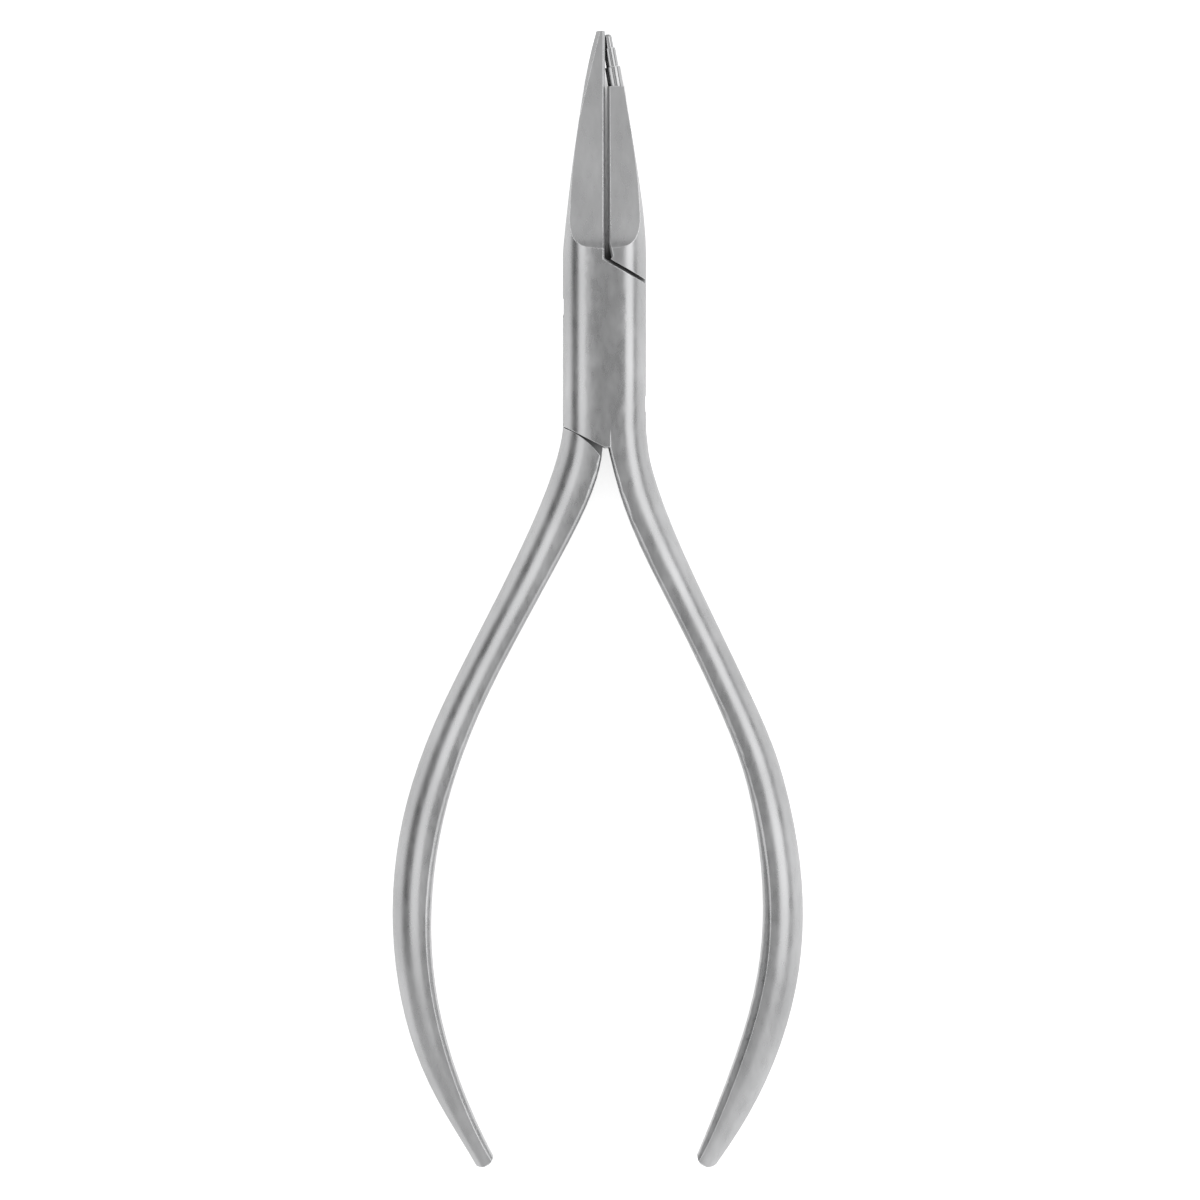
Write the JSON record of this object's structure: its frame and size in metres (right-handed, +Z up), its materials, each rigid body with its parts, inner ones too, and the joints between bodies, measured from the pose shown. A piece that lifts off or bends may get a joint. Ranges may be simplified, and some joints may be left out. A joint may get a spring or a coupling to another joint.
{
  "type": "orthodontic pliers",
  "caption": "Box-joint pliers that bend orthodontic wire into loops between a flat beak and a stepped round beak.",
  "frame": {"origin": "where the hinge axis meets the plane on which the closed pliers rest on their back", "axes": "+Y to the tips, +X to the side of the round beak, +Z up through the thickness"},
  "size_m": [0.0507, 0.1401, 0.0083],
  "materials": {
    "satin_steel": "satin, fine grain",
    "pin_steel": "satin, ground flush"
  },
  "bodies": {
    "outer": {"outer_half": "satin_steel", "joint_pin": "pin_steel"},
    "inner": {"inner_half": "satin_steel"}
  },
  "joints": [
    {"name": "opening", "type": "hinge", "parent": "outer", "child": "inner", "pos_m": [0, 0, 0], "axis": [0, 0, -1], "range_deg": [0, 30]}
  ]
}
